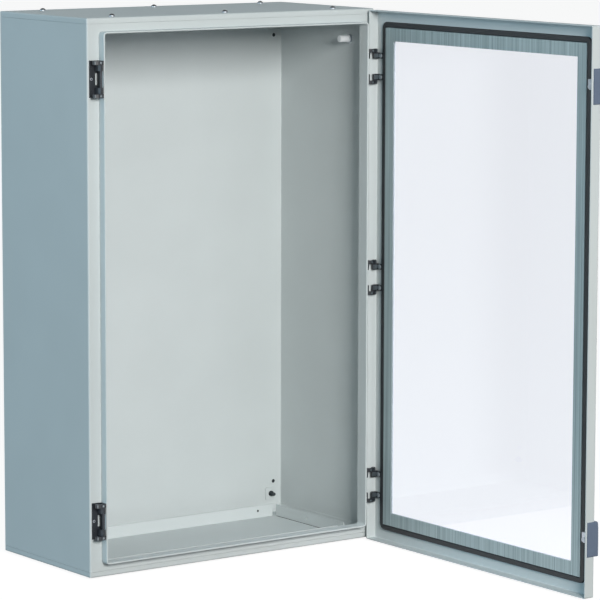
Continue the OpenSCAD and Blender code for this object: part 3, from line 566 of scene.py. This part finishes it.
# %% Plate seal lines and painted hole shade
PLATE_Z, STRIP_X = 471.0 * MM, 257.5 * MM
JOINT_Y, JOINT_LEN, JOINT_W, JOINT_H = -151.5 * MM, 209.0 * MM, 0.9 * MM, 0.5 * MM
HOLE_X, HOLE_Y, HOLE_Z, HOLE_R = 220.0 * MM, -38.75 * MM, 458.5 * MM, 2.15 * MM

tree, given = new_tree("seal_and_shade_bar", {"Width": JOINT_W, "Length": JOINT_LEN, "Height": JOINT_H})
bar_size = add_node(tree, "ShaderNodeCombineXYZ", X=given["Width"], Y=given["Length"], Z=given["Height"])
bar = add_node(tree, "GeometryNodeMeshCube", Size=bar_size.outputs[0], Vertices_X=2, Vertices_Y=24,
               Vertices_Z=2)
placed = add_node(tree, "GeometryNodeInstanceOnPoints", Points=given["Places"],
                  Instance=bar.outputs["Mesh"])
end_tree(tree, placed.outputs[0], dark_rubber_and_painted_shade)
# partly the dark seal, partly painted shade in the gap at the foot of each side strip
set_of("entry_plate_seal_and_painted_gap_shade", tree, {"Height": JOINT_H},
       [(x * (STRIP_X - JOINT_W / 2), JOINT_Y, z * (PLATE_Z - JOINT_H / 2))
        for x in (-1, 1) for z in (-1, 1)], "cabinet")

tree, given = new_tree("hole_shade_disc", {"Radius": HOLE_R, "Thickness": 0.8 * MM})
disc = add_node(tree, "GeometryNodeMeshCylinder", Vertices=24, Radius=given["Radius"],
                Depth=given["Thickness"])
placed = add_node(tree, "GeometryNodeInstanceOnPoints", Points=given["Places"],
                  Instance=disc.outputs["Mesh"], Rotation=(math.pi / 2, 0.0, 0.0))
end_tree(tree, placed.outputs[0], dark_rubber_and_painted_shade)
# painted shade: dark discs for the shade inside the holes of the back strips
set_of("back_strip_painted_hole_shade", tree, {"Radius": HOLE_R},
       [(x * HOLE_X, HOLE_Y, z * HOLE_Z) for x in (-1, 1) for z in (-1, 1)], "cabinet")

# %% [markdown]
# ## Gussets on the hinge legs
# Beside each knuckle the leg of a hinge base widens towards its foot. The widening follows the circle
# that the door's rim sweeps, a little outside it. It is a prism: its outline is given in edge coordinates,
# inwards from the side and forwards from the flange, and stood at two levels. Six prisms are few enough
# to be written straight into one mesh, whose normals are then turned outwards.

# %% Hinge gussets
GUSSET_OUTLINE_MM = ((14.9, 3.0), (16.7, 5.2), (18.3, 8.0), (19.3, 11.0), (19.45, 12.6), (19.45, 3.0))
GUSSET_FROM_Z, GUSSET_TO_Z = 13.7 * MM, 24.5 * MM
gusset_mesh = bpy.data.meshes.new("hinge_leg_gussets")
corners, faces = [], []
count = len(GUSSET_OUTLINE_MM)
for z in sides["hinge"][1]:
    for low, high in ((GUSSET_FROM_Z, GUSSET_TO_Z), (-GUSSET_TO_Z, -GUSSET_FROM_Z)):
        first = len(corners)
        for level in (low, high):
            corners += [(HALF_W - u * MM, -DEPTH - w * MM, z - HANG + level) for u, w in GUSSET_OUTLINE_MM]
        faces += [[first + k, first + (k + 1) % count, first + count + (k + 1) % count, first + count + k]
                  for k in range(count)]
        faces += [[first + k for k in reversed(range(count))], [first + count + k for k in range(count)]]
gusset_mesh.from_pydata(corners, [], faces)
shape = bmesh.new()
shape.from_mesh(gusset_mesh)
bmesh.ops.recalc_face_normals(shape, faces=shape.faces)
shape.to_mesh(gusset_mesh)
shape.free()
gusset_mesh.materials.append(black_casting)
gussets = bpy.data.objects.new("hinge_leg_gussets", gusset_mesh)
scene.collection.objects.link(gussets)
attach(gussets, "cabinet")
print("gussets", len(faces), "faces")

# %% [markdown]
# ## Studio
# The floor is pale and catches the object's soft shadow. What the camera, a glossy reflection or a ray
# through glass sees of it is lifted towards white through the light path, and so is the room behind it.
# One helper makes that test for both.

# %% Floor
FLOOR_DROP = 0.0002
FLOOR_HALF = 60.0
FLOOR_GREY, FLOOR_LIFT = "#7C7C7C", 0.92


def seen_directly(tree):
    ray = add_node(tree, "ShaderNodeLightPath")
    seen = add_node(tree, "ShaderNodeMath", {"operation": "MAXIMUM"}, _0=ray.outputs["Is Camera Ray"],
                    _1=ray.outputs["Is Glossy Ray"])
    return add_node(tree, "ShaderNodeMath", {"operation": "MAXIMUM"}, _0=seen.outputs[0],
                    _1=ray.outputs["Is Transmission Ray"]).outputs[0]


floor_mesh = bpy.data.meshes.new("studio_floor")
floor_z = cad_lo.z - FLOOR_DROP
floor_mesh.from_pydata([(x * FLOOR_HALF, y * FLOOR_HALF, floor_z)
                        for x, y in ((-1, -1), (1, -1), (1, 1), (-1, 1))], [], [(0, 1, 2, 3)])
floor = bpy.data.objects.new("studio_floor", floor_mesh)
scene.collection.objects.link(floor)

floor_finish, tree = new_material("pale_studio_floor")
matt = add_node(tree, "ShaderNodeBsdfDiffuse", Color=linear(FLOOR_GREY))
lift = add_node(tree, "ShaderNodeMath", {"operation": "MULTIPLY"}, _0=seen_directly(tree), _1=FLOOR_LIFT)
glow = add_node(tree, "ShaderNodeEmission", Color=(1, 1, 1, 1), Strength=lift.outputs[0])
both = add_node(tree, "ShaderNodeAddShader", _0=matt.outputs[0], _1=glow.outputs[0])
finish_material(tree, both.outputs[0])
floor_mesh.materials.append(floor_finish)
print("floor at", round(floor_z, 4), "m")

# %% [markdown]
# ## Lamps and room
# A broad soft light stands in front, a little above and left of the middle. A wide cool one on the left
# and a faint one overhead fill the outer side and the top, and a dim cool room fills the rest. Each lamp
# is placed by azimuth, elevation and distance, and its level is chosen so that 1 lights a white sheet to
# white.

# %% Lamps
MIDDLE = Vector((0.0, -0.3, 0.0))


def soft_lamp(name, azimuth, elevation, distance, size, level, colour):
    light = bpy.data.lights.new(name, "AREA")
    light.shape = "SQUARE"
    light.size = size
    light.energy = level * (math.pi * distance) ** 2
    light.color = linear(colour)[:3]
    lamp = bpy.data.objects.new(name, light)
    a, e = math.radians(azimuth), math.radians(elevation)
    way = Vector((math.sin(a) * math.cos(e), -math.cos(a) * math.cos(e), math.sin(e)))
    lamp.location = MIDDLE + way * distance
    lamp.rotation_euler = way.to_track_quat("Z", "Y").to_euler()
    scene.collection.objects.link(lamp)
    print(name, "level", level)


soft_lamp("front_softbox", -17.0, 17.5, 6.0, 1.7, 0.90, "#FFFDFA")
soft_lamp("left_softbox", -100.0, 10.0, 6.0, 3.0, 0.36, "#B2DDF4")
soft_lamp("top_softbox", -40.0, 80.0, 5.0, 2.0, 0.05, "#A6DCFF")

# %% Room
ROOM_TINT, ROOM_LEVEL = "#A4D2D8", 0.13

room = bpy.data.worlds.new("studio_room")
scene.world = room
room.use_nodes = True
tree = room.node_tree
tree.nodes.clear()
ambient = add_node(tree, "ShaderNodeBackground", Color=linear(ROOM_TINT), Strength=ROOM_LEVEL)
white = add_node(tree, "ShaderNodeBackground", Color=(1, 1, 1, 1), Strength=1.0)
both = add_node(tree, "ShaderNodeMixShader", _0=seen_directly(tree), _1=ambient.outputs[0],
                _2=white.outputs[0])
tree.links.new(both.outputs[0], tree.nodes.new("ShaderNodeOutputWorld").inputs["Surface"])
print("room level", ROOM_LEVEL)

# %% [markdown]
# ## View transform
# Colours go through the Standard view transform.

# %% Finish
scene.view_settings.view_transform = "Standard"
